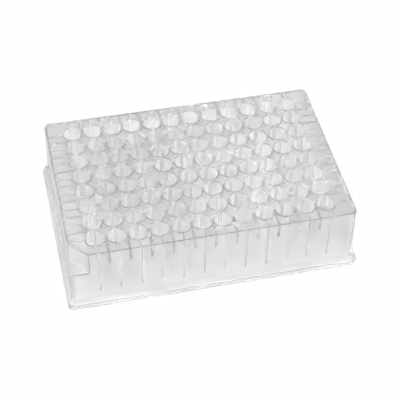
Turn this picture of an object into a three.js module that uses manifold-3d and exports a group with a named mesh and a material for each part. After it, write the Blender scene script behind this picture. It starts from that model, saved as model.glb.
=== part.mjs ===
// Deep-well plate: one clear moulding with a grid of round wells in a skirted body.
// Units are millimetres. +Z is up, +X is the long side, and the origin is the centre of the base.

import * as THREE from "three";
import { ConvexGeometry } from "three/addons/geometries/ConvexGeometry.js";
import { mergeVertices } from "three/addons/utils/BufferGeometryUtils.js";
import Module from "manifold-3d";

const wasm = await Module();
wasm.setup();

// ---- Driving dimensions -------------------------------------------------------------------------

// Body
const FOOTPRINT_X = 127.76;
const FOOTPRINT_Y = 85.48;
const HEIGHT = 31.4;
const DECK_THICKNESS = 1.2;
const DECK_EDGE_BEVEL = 0.5;

// Skirt: a drafted wall that stands back from the edge of the base flange
const SKIRT_THICKNESS = 1.1;
const SKIRT_INSET_AT_DECK = 2.75;
const SKIRT_INSET_AT_BASE = 2.1;
const SKIRT_CORNER_RADIUS = 2.2;

// Base flange, hollow from below
const FLANGE_HEIGHT = 2.6;
const FLANGE_BEVEL = 0.45;
const FLANGE_CORNER_RADIUS = 3.0;
const FOOT_WIDTH = 1.25;
const FOOT_HOLLOW_HEIGHT = 1.3;
const FOOT_HOLLOW_SLOPE = 1.8;

// Notched corner: a chamfer from the deck down to a ledge
const NOTCH_X = 7.2;
const NOTCH_Y = 7.7;
const NOTCH_DEPTH = 11.8;

// Wells
const COLUMNS = 12;
const ROWS = 8;
const PITCH = 9.0;
const MOUTH_RADIUS = 4.15;
const WELL_LOW_RADIUS = 3.95;
const WELL_FLOOR_RADIUS = 1.9;
const WELL_SIDES = 12;
const WELL_FLOOR_SIDES = 6;

// Tubes round the wells: straight above, and narrowing in two steps to a small blunt tip
const TUBE_TAPER_HEIGHT = 7.0;
const TUBE_BEND_HEIGHT = 3.0;
const TUBE_BEND_RADIUS = 3.2;
const TUBE_TIP_HEIGHT = 1.1;
const TUBE_TIP_RADIUS = 1.9;
const TUBE_FLOOR_THICKNESS = 0.8;
const TUBE_SIDES = 8;
const TUBE_TIP_SIDES = 4;

// Webs along the rows and columns of wells, and short ribs between them on the skirt
const WEB_THICKNESS = 0.8;
const WEB_BOTTOM_HEIGHT = 7.2;
const RIB_THICKNESS = 1.2;
const RIB_DEPTH = 6.6;

// Segments in each rounded upright corner
const CORNER_STEPS = 4;

// Points closer than this are one corner
const WELD_DISTANCE = 1e-4;

// ---- Relations -----------------------------------------------------------------------------------

const halfX = FOOTPRINT_X / 2;
const halfY = FOOTPRINT_Y / 2;
const deckUnderside = HEIGHT - DECK_THICKNESS;
const deckHalfX = halfX - SKIRT_INSET_AT_DECK;
const deckHalfY = halfY - SKIRT_INSET_AT_DECK;
const ledgeHeight = HEIGHT - NOTCH_DEPTH;
// Tubes, webs and ribs run up into the deck, and webs and ribs run out into the skirt
const insideDeck = HEIGHT - DECK_THICKNESS / 2;
const skirtMiddleX = deckHalfX - SKIRT_THICKNESS / 2;
const skirtMiddleY = deckHalfY - SKIRT_THICKNESS / 2;
// Neighbouring tubes share one wall, so each reaches half way to the next
const tubeRadius = PITCH / 2;
const wellFloorHeight = TUBE_TIP_HEIGHT + TUBE_FLOOR_THICKNESS;

// Far enough for a cutting solid to pass clear of the face that it cuts
const CLEAR = 1.0;

function insetOfSkirt(height) {
  return THREE.MathUtils.lerp(SKIRT_INSET_AT_BASE, SKIRT_INSET_AT_DECK, height / HEIGHT);
}

const wellXs = Array.from({ length: COLUMNS }, (_, i) => (i - (COLUMNS - 1) / 2) * PITCH);
const wellYs = Array.from({ length: ROWS }, (_, i) => (i - (ROWS - 1) / 2) * PITCH);
const gapXs = wellXs.slice(1).map((x) => x - PITCH / 2);
const gapYs = wellYs.slice(1).map((y) => y - PITCH / 2);

// ---- Solids --------------------------------------------------------------------------------------

// Turn a closed three.js geometry into a solid that can be joined and cut.
function toSolid(geometry) {
  const bare = geometry.index ? geometry.toNonIndexed() : geometry.clone();
  bare.deleteAttribute("normal");
  bare.deleteAttribute("uv");
  const merged = mergeVertices(bare, WELD_DISTANCE);
  return new wasm.Manifold(new wasm.Mesh({
    numProp: 3,
    vertProperties: new Float32Array(merged.attributes.position.array),
    triVerts: new Uint32Array(merged.index.array),
  }));
}

function toGeometry(solid) {
  const mesh = solid.getMesh();
  const geometry = new THREE.BufferGeometry();
  geometry.setAttribute("position", new THREE.BufferAttribute(mesh.vertProperties, mesh.numProp));
  geometry.setIndex(new THREE.BufferAttribute(mesh.triVerts, 1));
  geometry.computeVertexNormals();
  return geometry;
}

function joinAll(solids) {
  return solids.reduce((whole, solid) => whole.add(solid));
}

function roundedRectangle(hx, hy, radius) {
  const shape = new THREE.Shape();
  shape.moveTo(hx, -hy + radius);
  shape.lineTo(hx, hy - radius);
  shape.absarc(hx - radius, hy - radius, radius, 0, Math.PI / 2);
  shape.lineTo(-hx + radius, hy);
  shape.absarc(-hx + radius, hy - radius, radius, Math.PI / 2, Math.PI);
  shape.lineTo(-hx, -hy + radius);
  shape.absarc(-hx + radius, -hy + radius, radius, Math.PI, 1.5 * Math.PI);
  shape.lineTo(hx - radius, -hy);
  shape.absarc(hx - radius, -hy + radius, radius, 1.5 * Math.PI, 2 * Math.PI);
  return shape;
}

// A rounded block centred on the Z axis whose four sides stand `inset` further in at the top.
function taperedBlock(hx, hy, radius, bottom, top, inset) {
  const geometry = new THREE.ExtrudeGeometry(roundedRectangle(hx, hy, radius), {
    depth: top - bottom,
    bevelEnabled: false,
    curveSegments: CORNER_STEPS,
  });
  const position = geometry.attributes.position;
  for (let i = 0; i < position.count; i += 1) {
    const isTop = position.getZ(i) > (top - bottom) / 2;
    const shift = isTop ? inset : 0;
    position.setX(i, position.getX(i) - Math.sign(position.getX(i)) * shift);
    position.setY(i, position.getY(i) - Math.sign(position.getY(i)) * shift);
  }
  geometry.translate(0, 0, bottom);
  return toSolid(geometry);
}

// An upright plate between two corners of its box.
function plate(x0, x1, y0, y1, z0, z1) {
  const geometry = new THREE.BoxGeometry(x1 - x0, y1 - y0, z1 - z0);
  geometry.translate((x0 + x1) / 2, (y0 + y1) / 2, (z0 + z1) / 2);
  return toSolid(geometry);
}

// A level ring of corners that stand to both sides of the X and Y directions.
function ring(radius, height, sides) {
  return Array.from({ length: sides }, (_, i) => {
    const angle = ((i + 0.5) * 2 * Math.PI) / sides;
    return new THREE.Vector3(radius * Math.cos(angle), radius * Math.sin(angle), height);
  });
}

// The same, with the radius measured to the middles of the sides.
function ringAcrossSides(radius, height, sides) {
  return ring(radius / Math.cos(Math.PI / sides), height, sides);
}

// ---- The skirted body ----------------------------------------------------------------------------

// The corner that the notch takes away, moved inwards by `offset` and down by `drop`.
function notchCutter(offset, drop) {
  const slope = Math.hypot(NOTCH_X, NOTCH_Y) / (NOTCH_X * NOTCH_Y);
  const legX = NOTCH_X * (1 + offset * slope);
  const legY = NOTCH_Y * (1 + offset * slope);
  const reach = SKIRT_INSET_AT_DECK + CLEAR;
  const shape = new THREE.Shape();
  shape.moveTo(-deckHalfX + legX * (1 + reach / legY), -deckHalfY - reach);
  shape.lineTo(-deckHalfX - reach, -deckHalfY + legY * (1 + reach / legX));
  shape.lineTo(-deckHalfX - reach, -deckHalfY - reach);
  shape.closePath();
  const geometry = new THREE.ExtrudeGeometry(shape, {
    depth: NOTCH_DEPTH + drop + CLEAR,
    bevelEnabled: false,
  });
  geometry.translate(0, 0, ledgeHeight - drop);
  return toSolid(geometry);
}

function outerForm() {
  const flangeSide = taperedBlock(halfX, halfY, FLANGE_CORNER_RADIUS, 0, FLANGE_HEIGHT - FLANGE_BEVEL, 0);
  const flangeTop = taperedBlock(
    halfX, halfY, FLANGE_CORNER_RADIUS, FLANGE_HEIGHT - FLANGE_BEVEL, FLANGE_HEIGHT, FLANGE_BEVEL,
  );
  const bevelStart = HEIGHT - DECK_EDGE_BEVEL;
  const skirt = taperedBlock(
    halfX - SKIRT_INSET_AT_BASE, halfY - SKIRT_INSET_AT_BASE, SKIRT_CORNER_RADIUS,
    0, bevelStart, insetOfSkirt(bevelStart) - SKIRT_INSET_AT_BASE,
  );
  const edge = taperedBlock(
    halfX - insetOfSkirt(bevelStart), halfY - insetOfSkirt(bevelStart), SKIRT_CORNER_RADIUS,
    bevelStart, HEIGHT, DECK_EDGE_BEVEL,
  );
  return joinAll([flangeSide, flangeTop, skirt, edge]).subtract(notchCutter(0, 0));
}

function innerHollow() {
  const skirtInside = taperedBlock(
    halfX - SKIRT_INSET_AT_BASE - SKIRT_THICKNESS, halfY - SKIRT_INSET_AT_BASE - SKIRT_THICKNESS,
    SKIRT_CORNER_RADIUS - SKIRT_THICKNESS,
    0, deckUnderside, insetOfSkirt(deckUnderside) - SKIRT_INSET_AT_BASE,
  );
  const footHollow = taperedBlock(
    halfX - FOOT_WIDTH, halfY - FOOT_WIDTH, FLANGE_CORNER_RADIUS - FOOT_WIDTH,
    -CLEAR, FOOT_HOLLOW_HEIGHT, 0,
  );
  const slopeInset = SKIRT_INSET_AT_BASE + SKIRT_THICKNESS - FOOT_WIDTH;
  const footSlope = taperedBlock(
    halfX - FOOT_WIDTH, halfY - FOOT_WIDTH, FLANGE_CORNER_RADIUS - FOOT_WIDTH,
    FOOT_HOLLOW_HEIGHT, FOOT_HOLLOW_HEIGHT + FOOT_HOLLOW_SLOPE, slopeInset,
  );
  const hollow = joinAll([skirtInside, footHollow, footSlope]);
  return hollow.subtract(notchCutter(SKIRT_THICKNESS, DECK_THICKNESS));
}

// ---- Wells, webs and ribs ------------------------------------------------------------------------

// One copy of a geometry at each well.
function atEachWell(geometry) {
  const copies = wellXs.flatMap((x) => wellYs.map((y) => toSolid(geometry.clone().translate(x, y, 0))));
  return joinAll(copies);
}

// Each tube has a flat side towards each of its four neighbours.
function tubes() {
  return atEachWell(new ConvexGeometry([
    ...ringAcrossSides(TUBE_TIP_RADIUS, TUBE_TIP_HEIGHT, TUBE_TIP_SIDES),
    ...ringAcrossSides(TUBE_BEND_RADIUS, TUBE_BEND_HEIGHT, TUBE_SIDES),
    ...ringAcrossSides(tubeRadius, TUBE_TAPER_HEIGHT, TUBE_SIDES),
    ...ringAcrossSides(tubeRadius, insideDeck, TUBE_SIDES),
  ]));
}

function wellSpaces() {
  return atEachWell(new ConvexGeometry([
    ...ring(WELL_FLOOR_RADIUS, wellFloorHeight, WELL_FLOOR_SIDES),
    ...ring(WELL_LOW_RADIUS, TUBE_TAPER_HEIGHT + TUBE_FLOOR_THICKNESS, WELL_SIDES),
    ...ring(MOUTH_RADIUS, HEIGHT, WELL_SIDES),
    ...ring(MOUTH_RADIUS, HEIGHT + CLEAR, WELL_SIDES),
  ]));
}

// Webs run through the well centres from skirt to skirt.
function webs() {
  const half = WEB_THICKNESS / 2;
  const rows = wellYs.map(
    (y) => plate(-skirtMiddleX, skirtMiddleX, y - half, y + half, WEB_BOTTOM_HEIGHT, insideDeck),
  );
  const columns = wellXs.map(
    (x) => plate(x - half, x + half, -skirtMiddleY, skirtMiddleY, WEB_BOTTOM_HEIGHT, insideDeck),
  );
  return joinAll([...rows, ...columns]);
}

// Short ribs run from the skirt into the gap between two wells of the outermost row or column.
function ribs() {
  const half = RIB_THICKNESS / 2;
  const bottom = deckUnderside - RIB_DEPTH;
  const lastX = wellXs.at(-1);
  const lastY = wellYs.at(-1);
  const acrossFront = gapXs.map((x) => plate(x - half, x + half, -skirtMiddleY, -lastY, bottom, insideDeck));
  const acrossBack = gapXs.map((x) => plate(x - half, x + half, lastY, skirtMiddleY, bottom, insideDeck));
  const atLeft = gapYs.map((y) => plate(-skirtMiddleX, -lastX, y - half, y + half, bottom, insideDeck));
  const atRight = gapYs.map((y) => plate(lastX, skirtMiddleX, y - half, y + half, bottom, insideDeck));
  return joinAll([...acrossFront, ...acrossBack, ...atLeft, ...atRight]);
}

// ---- The plate -----------------------------------------------------------------------------------

function wellPlate() {
  const outer = outerForm();
  const inside = joinAll([tubes(), webs(), ribs()]).intersect(outer);
  return outer.subtract(innerHollow()).add(inside).subtract(wellSpaces());
}

const polypropylene = new THREE.MeshStandardMaterial({
  color: 0xe9ecee,
  roughness: 0.3,
  metalness: 0,
  transparent: true,
  opacity: 0.6,
});

const plateMesh = new THREE.Mesh(toGeometry(wellPlate()), polypropylene);
plateMesh.name = "well_plate";

const model = new THREE.Group();
model.add(plateMesh);

export default model;
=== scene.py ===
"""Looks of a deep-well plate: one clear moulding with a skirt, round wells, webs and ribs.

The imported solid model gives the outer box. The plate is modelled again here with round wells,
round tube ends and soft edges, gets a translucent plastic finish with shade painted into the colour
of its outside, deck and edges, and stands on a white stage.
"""

import math

import bpy
from bpy.props import FloatProperty, FloatVectorProperty, IntProperty, PointerProperty
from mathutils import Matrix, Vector


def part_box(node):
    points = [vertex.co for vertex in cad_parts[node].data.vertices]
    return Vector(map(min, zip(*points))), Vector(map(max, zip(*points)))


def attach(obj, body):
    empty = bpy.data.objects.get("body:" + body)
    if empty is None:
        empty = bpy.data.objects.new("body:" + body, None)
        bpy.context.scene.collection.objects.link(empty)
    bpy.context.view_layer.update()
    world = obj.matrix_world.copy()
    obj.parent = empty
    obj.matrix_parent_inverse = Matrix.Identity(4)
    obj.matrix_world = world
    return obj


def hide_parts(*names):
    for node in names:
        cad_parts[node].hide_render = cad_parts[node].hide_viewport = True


bl_info = {
    "name": "Deep-Well Plate",
    "version": (1, 0, 0),
    "blender": (4, 5, 0),
    "location": "3D View > Sidebar > Well Plate",
    "description": "Models a translucent deep-well plate and the white stage that it stands on",
    "category": "Object",
}

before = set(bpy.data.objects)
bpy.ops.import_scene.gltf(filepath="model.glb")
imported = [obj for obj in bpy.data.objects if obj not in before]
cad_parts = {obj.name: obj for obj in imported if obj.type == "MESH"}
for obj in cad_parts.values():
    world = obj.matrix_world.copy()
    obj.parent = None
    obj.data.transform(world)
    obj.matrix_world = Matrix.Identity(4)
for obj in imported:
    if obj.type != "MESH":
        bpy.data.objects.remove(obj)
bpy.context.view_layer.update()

MM = 0.001
BODY = "root"
NODE = "well_plate"
OUTSIDE = "outside_plastic"
DECK = "deck_plastic"
EDGES = "edge_plastic"
WELLS = "well_plastic"
UNDERSIDE = "underside_plastic"
FINISHES = (OUTSIDE, DECK, EDGES, WELLS, UNDERSIDE)

# Upward part of a face's normal above which the face counts as level, or else as rounded. Level
# tops and the rounding round them get the deck's and the edges' finishes, whose colours carry
# painted shade.
LEVEL = 0.9
ROUNDED = 0.5

# Steps in round corners and edges, and the angle under which neighbouring faces shade as one
CORNER_STEPS = 6
EDGE_STEPS = 4
SMOOTH_ANGLE = math.radians(35)

# Where the rings of a ball-shaped end stop, counted from its lowest point
BALL_ANGLE = math.radians(82)

# The mould's uneven frosting: spots per metre, their detail, and how far roughness strays
FROSTING_SCALE = 90.0
FROSTING_DETAIL = 3.0
FROSTING_RANGE = (0.8, 1.2)

# Light crosses dozens of thin walls, so paths are long
BOUNCES = 128

# Nearest distance that the camera shows, in metres
CLIP_START = 0.01

LOW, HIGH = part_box(NODE)
HALF_X = (HIGH.x - LOW.x) / 2
HALF_Y = (HIGH.y - LOW.y) / 2
HEIGHT = HIGH.z - LOW.z


# ---- Settings --------------------------------------------------------------------------------


def length(name, description, millimetres):
    """A length property, given in millimetres and held in metres."""
    return FloatProperty(
        name=name,
        description=description,
        default=millimetres * MM,
        precision=5,
        unit="LENGTH",
        subtype="DISTANCE",
    )


def span(name, description, metres):
    """A length property that is given in metres."""
    return FloatProperty(name=name, description=description, default=metres, unit="LENGTH")


def amount(name, description, default):
    """A number property without a unit, zero or more."""
    return FloatProperty(name=name, description=description, default=default, min=0.0)


def share(name, description, default):
    """A property between none and all."""
    return FloatProperty(
        name=name, description=description, default=default, min=0.0, max=1.0, subtype="FACTOR"
    )


def colour(name, description, default):
    """A colour property."""
    return FloatVectorProperty(
        name=name,
        description=description,
        default=default,
        min=0.0,
        max=1.0,
        size=3,
        subtype="COLOR",
    )


def place(name, description, default):
    """A point in space, in metres."""
    return FloatVectorProperty(
        name=name, description=description, default=default, size=3, unit="LENGTH", subtype="XYZ"
    )


class BodySizes(bpy.types.PropertyGroup):
    """Sizes of the skirted body"""

    deck_thickness: length("Deck thickness", "Plate that the wells open through", 1.2)
    deck_edge: length("Deck edge", "Rounding where the deck meets the skirt", 0.6)
    skirt_thickness: length("Skirt thickness", "Wall of the skirt", 1.1)
    inset_at_deck: length("Inset at deck", "How far the skirt's top stands inside the flange", 2.75)
    inset_at_base: length("Inset at base", "How far the skirt's foot stands inside the flange", 2.1)
    corner_radius: length("Corner radius", "Upright corners of the skirt", 2.2)
    flange_height: length("Flange height", "Height of the flange round the foot", 2.6)
    flange_radius: length("Flange radius", "Upright corners of the flange", 3.0)
    flange_edge: length("Flange edge", "Rounding of the flange's upper edge", 0.8)
    foot_width: length("Foot width", "Wall that stands on the bench", 1.25)
    foot_hollow: length("Foot hollow", "Upright part of the flange's hollow", 1.3)
    foot_slope: length("Foot slope", "Height over which the hollow narrows to the skirt", 1.8)
    notch_x: length("Notch length", "Corner notch along the long side", 7.2)
    notch_y: length("Notch width", "Corner notch along the short side", 7.7)
    notch_depth: length("Notch depth", "Drop from the deck to the notch's ledge", 11.8)


class WellSizes(bpy.types.PropertyGroup):
    """Sizes of the wells, their tubes, and the webs and ribs round them"""

    columns: IntProperty(name="Columns", description="Wells along the long side", default=12, min=2)
    rows: IntProperty(name="Rows", description="Wells along the short side", default=8, min=2)
    pitch: length("Pitch", "Distance from well to well", 9.0)
    mouth_radius: length("Mouth radius", "Inside of a well at the deck", 4.1)
    low_radius: length("Low radius", "Inside of a well where it starts to narrow", 3.93)
    rim_radius: length("Rim radius", "Outside of the low rim round a mouth", 4.42)
    rim_height: length("Rim height", "How far a rim stands above the deck", 0.2)
    tube_radius: length("Tube radius", "Outside of a tube above its taper", 4.6)
    taper_top: length("Taper top", "Height at which a tube starts to narrow", 9.0)
    end_radius: length("End radius", "Ball that closes a tube's lower end", 3.85)
    end_height: length("End height", "Lowest point of a tube", 1.1)
    wall: length("Tube wall", "Thickness of a tube's rounded end", 0.75)
    web_thickness: length("Web thickness", "Webs from the outer tubes to the skirt", 0.8)
    web_height: length("Web height", "Lower edge of the webs", 7.2)
    rib_thickness: length("Rib thickness", "Short ribs between the webs", 1.2)
    rib_depth: length("Rib depth", "How far the short ribs reach down from the deck", 6.6)
    sides: IntProperty(name="Sides", description="Facets round a well", default=40, min=12)
    ball_steps: IntProperty(
        name="Ball steps", description="Rings in a tube's rounded end", default=6, min=3
    )


class Finish(bpy.types.PropertyGroup):
    """Look of the translucent plastic, with shade painted into the colour of its outside, deck and
    edges
    """

    refraction: FloatProperty(
        name="Refraction", description="Refractive index", default=1.45, min=1.0
    )
    outside_roughness: share("Outside roughness", "Skirt and flange", 0.1)
    outside_haze: share("Outside haze", "Milky share of the skirt and flange", 0.2)
    outside_back: share("Outside back", "Part of the outside's milky light that turns back", 0.5)
    # Painted shade: the skirt and flange are the same clear plastic as the wells, darkened here
    outside_tint: share("Outside tint", "Light that one crossing of the outside keeps", 0.835)
    deck_roughness: share("Deck roughness", "Top of the deck", 0.26)
    deck_haze: share("Deck haze", "Milky share of the deck", 0.24)
    deck_back: share("Deck back", "Part of the deck's milky light that turns back", 0.35)
    # Painted shade: the deck's top is darkened further, in place of the weaker light that falls on
    # it from above
    deck_tint: share("Deck tint", "Light that one crossing of the deck's top keeps", 0.74)
    edge_roughness: share("Edge roughness", "Rims, deck's edge, ends of webs and ribs", 0.1)
    edge_haze: share("Edge haze", "Milky share of the edges", 0.24)
    edge_back: share("Edge back", "Part of the edges' milky light that turns back", 0.2)
    # Painted shade: the rims, the deck's rounded edge and the ends of webs and ribs are darkened
    # strongly, drawing the dark lines that refraction makes along them
    edge_tint: share("Edge tint", "Light that one crossing of an edge keeps", 0.38)
    well_roughness: share("Well roughness", "Insides of the wells", 0.1)
    well_haze: share("Well haze", "Milky share of the insides of the wells", 0.24)
    well_back: share("Well back", "Part of the wells' milky light that turns back", 0.9)
    # The wells and the underside keep the plastic's clear colour, with no shade painted in
    well_tint: share("Well tint", "Light that one crossing of a well's inside keeps", 1.0)
    underside_roughness: share("Underside roughness", "Tubes, webs, ribs, skirt's inside", 0.35)
    underside_haze: share("Underside haze", "Milky share of the underside", 0.05)
    underside_back: share("Underside back", "Part of its milky light that turns back", 0.5)
    underside_tint: share("Underside tint", "Light that one crossing of the underside keeps", 1.0)


class StageSettings(bpy.types.PropertyGroup):
    """White floor, soft light and camera"""

    floor_size: span("Floor size", "Side of the floor", 6.0)
    floor_gap: length("Floor gap", "Air left under the foot, so that light gets in", 0.2)
    floor_colour: colour("Floor colour", "Paint of the floor", (0.9, 0.9, 0.9))
    floor_white: share("Floor white", "Part of the floor's look that no shadow darkens", 0.95)
    floor_through: share("Floor through", "The same part, seen through plastic or in gloss", 0.2)
    sky: amount("Sky", "Strength of the white surroundings", 0.6)
    lamp_power: amount("Lamp power", "Watts of the soft lamp", 4.6)
    lamp_size: span("Lamp size", "Side of the soft lamp", 0.8)
    lamp_place: place("Lamp place", "Where the soft lamp hangs", (0.1, -0.2, 1.0))
    lens: FloatProperty(name="Lens", description="Focal length", default=102.16, unit="CAMERA")
    eye: place("Eye", "Where the camera stands", (-0.08213, -0.33659, 0.38444))
    aim: FloatVectorProperty(
        name="Aim",
        description="Tilt, roll and turn of the camera",
        default=tuple(math.radians(angle) for angle in (42.7686, -1.2329, -12.7513)),
        size=3,
        subtype="EULER",
    )


# ---- Modelling steps -------------------------------------------------------------------------


def deselect():
    """Leaves edit mode with nothing selected."""
    if bpy.context.object and bpy.context.object.mode == "EDIT":
        bpy.ops.object.mode_set(mode="OBJECT")
    bpy.ops.object.select_all(action="DESELECT")


def pick(piece):
    """Selects one piece and makes it active."""
    deselect()
    bpy.context.view_layer.objects.active = piece
    piece.select_set(True)


def select_edges(piece, test):
    """Enters edit mode with those edges selected whose two ends pass the test."""
    pick(piece)
    bpy.ops.object.mode_set(mode="EDIT")
    bpy.ops.mesh.select_mode(type="EDGE")
    bpy.ops.mesh.select_all(action="DESELECT")
    bpy.ops.object.mode_set(mode="OBJECT")
    corners = piece.data.vertices
    for edge in piece.data.edges:
        first, second = (corners[index].co for index in edge.vertices)
        edge.select = test(first, second)
    bpy.ops.object.mode_set(mode="EDIT")


def select_faces(piece, test):
    """Enters edit mode with those faces selected whose normal passes the test."""
    pick(piece)
    bpy.ops.object.mode_set(mode="EDIT")
    bpy.ops.mesh.select_mode(type="FACE")
    bpy.ops.mesh.select_all(action="DESELECT")
    bpy.ops.object.mode_set(mode="OBJECT")
    for face in piece.data.polygons:
        face.select = test(face.normal)
    bpy.ops.object.mode_set(mode="EDIT")


def coat(piece, finish, top=None, rounding=None, end=None):
    """Gives the faces the finish that the mould leaves on them, together with the shade painted
    into each finish's colour.

    Level upper faces, the rounding round them and level lower faces can have finishes of their own.
    """
    for name in FINISHES:
        material = bpy.data.materials.get(name) or bpy.data.materials.new(name)
        piece.data.materials.append(material)
    for face in piece.data.polygons:
        own = finish
        if top and face.normal.z > LEVEL:
            own = top
        elif rounding and face.normal.z > ROUNDED:
            own = rounding
        elif end and face.normal.z < -LEVEL:
            own = end
        face.material_index = FINISHES.index(own)
    return piece


def block(name, half_x, half_y, bottom, top, centre=(0.0, 0.0)):
    """A box between two heights."""
    deselect()
    bpy.ops.mesh.primitive_cube_add(size=1, location=(*centre, (bottom + top) / 2))
    piece = bpy.context.object
    piece.name = name
    piece.scale = (2 * half_x, 2 * half_y, top - bottom)
    bpy.ops.object.transform_apply(location=True, rotation=True, scale=True)
    return piece


def drafted_block(name, half_x, half_y, bottom, top, radius, inset=0.0, edge=0.0):
    """A block with round upright corners, an inset top and a rounded top edge."""
    piece = block(name, half_x, half_y, bottom, top)
    rise = top - bottom
    select_edges(piece, lambda a, b: abs(a.z - b.z) > rise / 2)
    bpy.ops.mesh.bevel(
        offset=radius, segments=CORNER_STEPS, affect="EDGES", offset_type="OFFSET"
    )
    if inset:
        select_faces(piece, lambda normal: normal.z > LEVEL)
        shrink = ((half_x - inset) / half_x, (half_y - inset) / half_y, 1)
        bpy.ops.transform.resize(value=shrink, center_override=(0, 0, top))
    if edge:
        just_below = top - 0.01 * rise
        select_edges(piece, lambda a, b: a.z > just_below and b.z > just_below)
        bpy.ops.mesh.bevel(
            offset=edge, segments=EDGE_STEPS, affect="EDGES", offset_type="OFFSET"
        )
    bpy.ops.object.mode_set(mode="OBJECT")
    return piece


def turned(name, profile, sides):
    """A closed round form through (radius, height) rings, from the bottom up."""
    deselect()
    radius, height = profile[0]
    bpy.ops.mesh.primitive_circle_add(
        vertices=sides, radius=radius, fill_type="NGON", location=(0, 0, height)
    )
    piece = bpy.context.object
    piece.name = name
    bpy.ops.object.transform_apply(location=True)
    bpy.ops.object.mode_set(mode="EDIT")
    bpy.ops.mesh.select_all(action="SELECT")
    for (old_radius, old_height), (new_radius, new_height) in zip(profile, profile[1:]):
        bpy.ops.mesh.extrude_region_move(
            TRANSFORM_OT_translate={"value": (0, 0, new_height - old_height)}
        )
        grow = new_radius / old_radius
        bpy.ops.transform.resize(value=(grow, grow, 1), center_override=(0, 0, new_height))
    bpy.ops.mesh.select_all(action="SELECT")
    bpy.ops.mesh.normals_make_consistent(inside=False)
    bpy.ops.object.mode_set(mode="OBJECT")
    return piece


def spread(piece, columns, rows, step, centre=(0.0, 0.0)):
    """Repeats a piece in a grid round a centre."""
    pick(piece)
    for count, offset in ((columns, (step, 0, 0)), (rows, (0, step, 0))):
        if count > 1:
            copies = piece.modifiers.new("Copies", "ARRAY")
            copies.use_relative_offset = False
            copies.use_constant_offset = True
            copies.constant_offset_displace = offset
            copies.count = count
            bpy.ops.object.modifier_apply(modifier=copies.name)
    shift_x = centre[0] - (columns - 1) * step / 2
    shift_y = centre[1] - (rows - 1) * step / 2
    piece.location = (shift_x, shift_y, 0)
    bpy.ops.object.transform_apply(location=True)
    return piece


def combine(piece, other, operation):
    """Joins another solid to a piece, or cuts it away, and deletes the other."""
    pick(piece)
    step = piece.modifiers.new("Combine", "BOOLEAN")
    step.operation = operation
    step.solver = "MANIFOLD"
    step.object = other
    bpy.ops.object.modifier_apply(modifier=step.name)
    bpy.data.objects.remove(other)
    return piece


def join(first, *others):
    """Adds the other solids to the first."""
    for other in others:
        combine(first, other, "UNION")
    return first


def cut(piece, *tools):
    """Takes the tools away from the piece."""
    for tool in tools:
        combine(piece, tool, "DIFFERENCE")
    return piece


# ---- The skirted body ------------------------------------------------------------------------


def deck_level(wells):
    """Top of the deck, under the rims."""
    return HEIGHT - wells.rim_height


def skirt_inset(body, height):
    """How far the drafted skirt stands inside the flange at a height."""
    return body.inset_at_base + (body.inset_at_deck - body.inset_at_base) * height / HEIGHT


def notch_tool(body, offset, drop):
    """The corner that the notch takes away, moved inwards by the offset and down by the drop."""
    deck_x = HALF_X - body.inset_at_deck
    deck_y = HALF_Y - body.inset_at_deck
    reach = body.notch_x + body.notch_y
    tool = block(
        "notch", reach, reach, HEIGHT - body.notch_depth - drop, HEIGHT + reach, (-deck_x, -deck_y)
    )
    outward = Vector((1 / body.notch_x, 1 / body.notch_y, 0)).normalized()
    chamfer = Vector((body.notch_x - deck_x, -deck_y, 0)) + outward * offset
    pick(tool)
    bpy.ops.object.mode_set(mode="EDIT")
    bpy.ops.mesh.select_all(action="SELECT")
    bpy.ops.mesh.bisect(plane_co=chamfer, plane_no=outward, use_fill=True, clear_outer=True)
    bpy.ops.object.mode_set(mode="OBJECT")
    return tool


def body_shell(body, wells):
    """Flange, skirt and deck, hollow from below."""
    deck = deck_level(wells)
    underside = deck - body.deck_thickness
    base = body.inset_at_base
    shell = drafted_block(
        "moulded_plate", HALF_X, HALF_Y, 0, body.flange_height, body.flange_radius,
        edge=body.flange_edge,
    )
    skirt = drafted_block(
        "skirt", HALF_X - base, HALF_Y - base, 0, deck, body.corner_radius,
        inset=skirt_inset(body, deck) - base, edge=body.deck_edge,
    )
    coat(shell, OUTSIDE)
    # The deck's top and rounded edge get finishes with painted shade in their colour
    join(shell, coat(skirt, OUTSIDE, top=DECK, rounding=EDGES))
    cut(shell, coat(notch_tool(body, 0, 0), OUTSIDE))

    inner = base + body.skirt_thickness
    below = -body.flange_height
    hollow = drafted_block(
        "hollow", HALF_X - inner, HALF_Y - inner, below, underside,
        body.corner_radius - body.skirt_thickness, inset=skirt_inset(body, underside) - base,
    )
    foot_x = HALF_X - body.foot_width
    foot_y = HALF_Y - body.foot_width
    foot_radius = body.flange_radius - body.foot_width
    foot = drafted_block("foot", foot_x, foot_y, below, body.foot_hollow, foot_radius)
    slope = drafted_block(
        "slope", foot_x, foot_y, body.foot_hollow, body.foot_hollow + body.foot_slope, foot_radius,
        inset=inner - body.foot_width,
    )
    coat(hollow, UNDERSIDE)
    join(hollow, coat(foot, UNDERSIDE), coat(slope, UNDERSIDE))
    cut(hollow, coat(notch_tool(body, body.skirt_thickness, body.deck_thickness), UNDERSIDE))
    return cut(shell, hollow)


# ---- Wells, tubes, webs and ribs ----------------------------------------------------------------


def ball_end(radius, centre_height, steps):
    """Rings of a ball's lower part, from near its lowest point to near its widest."""
    angles = [BALL_ANGLE * step / steps for step in range(1, steps + 1)]
    return [(radius * math.sin(a), centre_height - radius * math.cos(a)) for a in angles]


def tubes(wells, top):
    """The outsides of the tubes. Neighbours overlap, so they are joined in four loose sets."""
    centre = wells.end_height + wells.end_radius
    taper = wells.taper_top
    profile = [
        *ball_end(wells.end_radius, centre, wells.ball_steps),
        ((wells.end_radius + wells.tube_radius) / 2, (centre + taper) / 2),
        (wells.tube_radius, taper),
        (wells.tube_radius, top),
    ]
    half = wells.pitch / 2
    sets = []
    for side_x in (-half, half):
        for side_y in (-half, half):
            tube = coat(turned("tube", profile, wells.sides), UNDERSIDE)
            sets.append(
                spread(tube, wells.columns // 2, wells.rows // 2, 2 * wells.pitch, (side_x, side_y))
            )
    return join(*sets)


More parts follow.
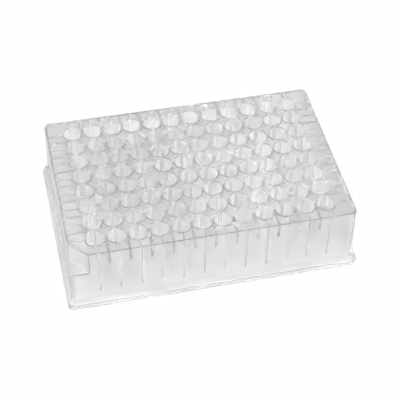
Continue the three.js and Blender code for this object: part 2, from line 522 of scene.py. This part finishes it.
def well_spaces(wells):
    """The insides of the wells, with a flared mouth that rounds each rim's inner edge."""
    radius = wells.end_radius - wells.wall
    centre = wells.end_height + wells.wall + radius
    flare = wells.rim_height
    mouth = wells.mouth_radius
    profile = [
        *ball_end(radius, centre, wells.ball_steps),
        ((radius + wells.low_radius) / 2, (centre + wells.taper_top) / 2),
        (wells.low_radius, wells.taper_top),
        (mouth - 0.25 * flare, HEIGHT - 2 * flare),
        (mouth, HEIGHT - flare),
        (mouth + 0.5 * flare, HEIGHT - 0.25 * flare),
        (mouth + flare, HEIGHT + 0.1 * flare),
        (mouth + flare, HEIGHT + wells.pitch),
    ]
    well = coat(turned("well", profile, wells.sides), WELLS)
    return spread(well, wells.columns, wells.rows, wells.pitch)


def rims(wells, bottom):
    """A low ring round each mouth, with a rounded outer edge."""
    height = wells.rim_height
    radius = wells.rim_radius
    profile = [
        (radius, bottom),
        (radius, HEIGHT - 0.6 * height),
        (radius - 0.3 * height, HEIGHT - 0.15 * height),
        (radius - 0.6 * height, HEIGHT),
    ]
    # The rims get the edges' finish, darkened with painted shade
    rim = coat(turned("rim", profile, wells.sides), EDGES)
    return spread(rim, wells.columns, wells.rows, wells.pitch)


def webs(body, wells, top):
    """Upright webs through the well centres, from skirt to skirt."""
    reach_x = HALF_X - body.inset_at_deck - body.skirt_thickness / 2
    reach_y = HALF_Y - body.inset_at_deck - body.skirt_thickness / 2
    half = wells.web_thickness / 2
    # The webs' lower ends get the edges' finish, darkened with painted shade
    along_columns = coat(block("web", half, reach_y, wells.web_height, top), UNDERSIDE, end=EDGES)
    spread(along_columns, wells.columns, 1, wells.pitch)
    along_rows = coat(block("web", reach_x, half, wells.web_height, top), UNDERSIDE, end=EDGES)
    spread(along_rows, 1, wells.rows, wells.pitch)
    return join(along_columns, along_rows)


def ribs(body, wells, top):
    """Short ribs from the skirt into the gaps between the outermost wells."""
    reach_x = HALF_X - body.inset_at_deck - body.skirt_thickness / 2
    reach_y = HALF_Y - body.inset_at_deck - body.skirt_thickness / 2
    last_x = (wells.columns - 1) / 2 * wells.pitch
    last_y = (wells.rows - 1) / 2 * wells.pitch
    bottom = deck_level(wells) - body.deck_thickness - wells.rib_depth
    half = wells.rib_thickness / 2
    sets = []
    for side in (-1, 1):
        # The ribs' lower ends get the edges' finish, darkened with painted shade
        rib = coat(block("rib", half, (reach_y - last_y) / 2, bottom, top), UNDERSIDE, end=EDGES)
        sets.append(
            spread(rib, wells.columns - 1, 1, wells.pitch, (0, side * (reach_y + last_y) / 2))
        )
        rib = coat(block("rib", (reach_x - last_x) / 2, half, bottom, top), UNDERSIDE, end=EDGES)
        sets.append(
            spread(rib, 1, wells.rows - 1, wells.pitch, (side * (reach_x + last_x) / 2, 0))
        )
    return join(*sets)


# ---- Finishes ----------------------------------------------------------------------------------


def node(tree, kind, **values):
    """A new shader node with its settings."""
    made = tree.nodes.new(kind)
    for name, value in values.items():
        setattr(made, name, value)
    return made


def moulded_plastic(name, refraction, roughness, haze, back_share, tint):
    """Clear plastic with a little haze, and an uneven frosting from the mould. The painted shade
    sets its base, translucent and diffuse colours, darker on the outside, the deck and the edges.
    """
    material = bpy.data.materials[name]
    material.use_nodes = True
    tree = material.node_tree
    shader = tree.nodes["Principled BSDF"]
    shader.distribution = "MULTI_GGX"
    # Painted shade: the base colour is darkened by the finish's painted shade
    shader.inputs["Base Color"].default_value = (tint, tint, tint, 1.0)
    shader.inputs["IOR"].default_value = refraction
    shader.inputs["Transmission Weight"].default_value = 1.0

    place_on_piece = node(tree, "ShaderNodeTexCoord")
    frosting = node(tree, "ShaderNodeTexNoise")
    frosting.inputs["Scale"].default_value = FROSTING_SCALE
    frosting.inputs["Detail"].default_value = FROSTING_DETAIL
    range_of_frosting = node(tree, "ShaderNodeMapRange")
    range_of_frosting.inputs["To Min"].default_value = FROSTING_RANGE[0] * roughness
    range_of_frosting.inputs["To Max"].default_value = FROSTING_RANGE[1] * roughness
    tree.links.new(place_on_piece.outputs["Object"], frosting.inputs["Vector"])
    tree.links.new(frosting.outputs["Fac"], range_of_frosting.inputs["Value"])
    tree.links.new(range_of_frosting.outputs["Result"], shader.inputs["Roughness"])

    # The translucent and diffuse colours carry the same painted shade
    forward = node(tree, "ShaderNodeBsdfTranslucent")
    forward.inputs["Color"].default_value = (tint, tint, tint, 1.0)
    back = node(tree, "ShaderNodeBsdfDiffuse")
    back.inputs["Color"].default_value = (tint, tint, tint, 1.0)
    milk = node(tree, "ShaderNodeMixShader")
    milk.inputs["Fac"].default_value = back_share
    tree.links.new(forward.outputs["BSDF"], milk.inputs[1])
    tree.links.new(back.outputs["BSDF"], milk.inputs[2])
    cloudy = node(tree, "ShaderNodeMixShader")
    cloudy.inputs["Fac"].default_value = haze
    tree.links.new(shader.outputs["BSDF"], cloudy.inputs[1])
    tree.links.new(milk.outputs["Shader"], cloudy.inputs[2])
    tree.links.new(cloudy.outputs["Shader"], tree.nodes["Material Output"].inputs["Surface"])


def looked_at(tree, direct, indirect):
    """Weight for rays that see a surface directly, or else in gloss or through plastic."""
    which_ray = node(tree, "ShaderNodeLightPath")
    seen = None
    for kind, weight in (
        ("Is Camera Ray", direct),
        ("Is Glossy Ray", indirect),
        ("Is Transmission Ray", indirect),
    ):
        weighted = node(tree, "ShaderNodeMath", operation="MULTIPLY")
        weighted.inputs[1].default_value = weight
        tree.links.new(which_ray.outputs[kind], weighted.inputs[0])
        if seen:
            most = node(tree, "ShaderNodeMath", operation="MAXIMUM")
            tree.links.new(seen, most.inputs[0])
            tree.links.new(weighted.outputs["Value"], most.inputs[1])
            seen = most.outputs["Value"]
        else:
            seen = weighted.outputs["Value"]
    return seen


def painted_floor(stage):
    """White paint that keeps the shadow, and looks as white as the surroundings."""
    material = bpy.data.materials.new("white_floor")
    material.use_nodes = True
    tree = material.node_tree
    shader = tree.nodes["Principled BSDF"]
    shader.inputs["Base Color"].default_value = (*stage.floor_colour, 1.0)
    shader.inputs["Roughness"].default_value = 1.0
    shader.inputs["Specular IOR Level"].default_value = 0.0
    white = node(tree, "ShaderNodeEmission")
    both = node(tree, "ShaderNodeMixShader")
    seen = looked_at(tree, stage.floor_white, stage.floor_through)
    tree.links.new(seen, both.inputs["Fac"])
    tree.links.new(shader.outputs["BSDF"], both.inputs[1])
    tree.links.new(white.outputs["Emission"], both.inputs[2])
    tree.links.new(both.outputs["Shader"], tree.nodes["Material Output"].inputs["Surface"])
    # The white is only a look: taken for a lamp, it would cost the plastic part of its light
    material.cycles.emission_sampling = "NONE"
    return material


def white_surroundings(stage):
    """Soft light from all sides, which looks white."""
    world = bpy.data.worlds.new("white_surroundings")
    world.use_nodes = True
    tree = world.node_tree
    light = tree.nodes["Background"]
    light.inputs["Color"].default_value = (1.0, 1.0, 1.0, 1.0)
    light.inputs["Strength"].default_value = stage.sky
    white = node(tree, "ShaderNodeBackground")
    white.inputs["Color"].default_value = (1.0, 1.0, 1.0, 1.0)
    both = node(tree, "ShaderNodeMixShader")
    tree.links.new(looked_at(tree, 1.0, 1.0), both.inputs["Fac"])
    tree.links.new(light.outputs["Background"], both.inputs[1])
    tree.links.new(white.outputs["Background"], both.inputs[2])
    tree.links.new(both.outputs["Shader"], tree.nodes["World Output"].inputs["Surface"])
    return world


# ---- Operators -----------------------------------------------------------------------------------


class WELLPLATE_OT_plate(bpy.types.Operator):
    """Models the plate as one moulding and gives it its plastic"""

    bl_idname = "wellplate.plate"
    bl_label = "Well Plate"

    def execute(self, context):
        body = context.scene.plate_body
        wells = context.scene.plate_wells
        finish = context.scene.plate_finish
        inside_deck = deck_level(wells) - body.deck_thickness / 2

        plate = body_shell(body, wells)
        join(
            plate,
            tubes(wells, inside_deck),
            webs(body, wells, inside_deck),
            ribs(body, wells, inside_deck),
            rims(wells, inside_deck),
        )
        cut(plate, well_spaces(wells))

        # The outside, deck and edge finishes are made with painted shade in their colour
        for name, part in zip(FINISHES, ("outside", "deck", "edge", "well", "underside")):
            kinds = ("roughness", "haze", "back", "tint")
            values = (getattr(finish, f"{part}_{kind}") for kind in kinds)
            moulded_plastic(name, finish.refraction, *values)
        pick(plate)
        bpy.ops.object.shade_smooth_by_angle(angle=SMOOTH_ANGLE)

        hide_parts(NODE)
        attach(plate, BODY)
        return {"FINISHED"}


class WELLPLATE_OT_stage(bpy.types.Operator):
    """Adds the white floor, the surroundings, the soft lamp and the camera"""

    bl_idname = "wellplate.stage"
    bl_label = "Stage"

    def execute(self, context):
        scene = context.scene
        stage = scene.plate_stage
        scene.view_settings.view_transform = "Standard"
        scene.cycles.max_bounces = BOUNCES
        scene.cycles.transmission_bounces = BOUNCES
        scene.cycles.glossy_bounces = BOUNCES
        scene.cycles.diffuse_bounces = BOUNCES
        # No light is cut off or blurred on its way through the wells
        scene.cycles.blur_glossy = 0.0
        scene.cycles.sample_clamp_indirect = 0.0
        scene.cycles.light_sampling_threshold = 0.0

        deselect()
        bpy.ops.mesh.primitive_plane_add(size=stage.floor_size, location=(0, 0, -stage.floor_gap))
        floor = context.object
        floor.name = "floor"
        floor.data.materials.append(painted_floor(stage))

        scene.world = white_surroundings(stage)

        bpy.ops.object.light_add(type="AREA", location=stage.lamp_place)
        lamp = context.object
        lamp.name = "soft_lamp"
        lamp.data.energy = stage.lamp_power
        lamp.data.size = stage.lamp_size
        towards_plate = -Vector(stage.lamp_place)
        lamp.rotation_euler = towards_plate.to_track_quat("-Z", "Y").to_euler()

        bpy.ops.object.camera_add(location=stage.eye, rotation=stage.aim)
        camera = context.object
        camera.name = "camera"
        camera.data.lens = stage.lens
        camera.data.clip_start = CLIP_START
        scene.camera = camera
        return {"FINISHED"}


class WELLPLATE_PT_panel(bpy.types.Panel):
    """Buttons and sizes of the well plate"""

    bl_idname = "WELLPLATE_PT_panel"
    bl_label = "Well Plate"
    bl_space_type = "VIEW_3D"
    bl_region_type = "UI"
    bl_category = "Well Plate"

    def draw(self, context):
        layout = self.layout
        for operator in OPERATORS:
            layout.operator(operator.bl_idname)
        for name, (group, label) in SETTINGS.items():
            box = layout.box()
            box.label(text=label)
            for key in group.__annotations__:
                box.prop(getattr(context.scene, name), key)


OPERATORS = (WELLPLATE_OT_plate, WELLPLATE_OT_stage)
SETTINGS = {
    "plate_body": (BodySizes, "Body"),
    "plate_wells": (WellSizes, "Wells"),
    "plate_finish": (Finish, "Finish"),
    "plate_stage": (StageSettings, "Stage"),
}


def register():
    """Registers the settings, the operators and the panel."""
    for name, (group, label) in SETTINGS.items():
        bpy.utils.register_class(group)
        setattr(bpy.types.Scene, name, PointerProperty(type=group, name=label))
    for operator in OPERATORS:
        bpy.utils.register_class(operator)
    bpy.utils.register_class(WELLPLATE_PT_panel)


def unregister():
    """Takes back what register did."""
    bpy.utils.unregister_class(WELLPLATE_PT_panel)
    for operator in reversed(OPERATORS):
        bpy.utils.unregister_class(operator)
    for name, (group, _label) in reversed(SETTINGS.items()):
        delattr(bpy.types.Scene, name)
        bpy.utils.unregister_class(group)


def main():
    register()
    bpy.ops.wellplate.plate()
    bpy.ops.wellplate.stage()


if __name__ == "__main__":
    main()
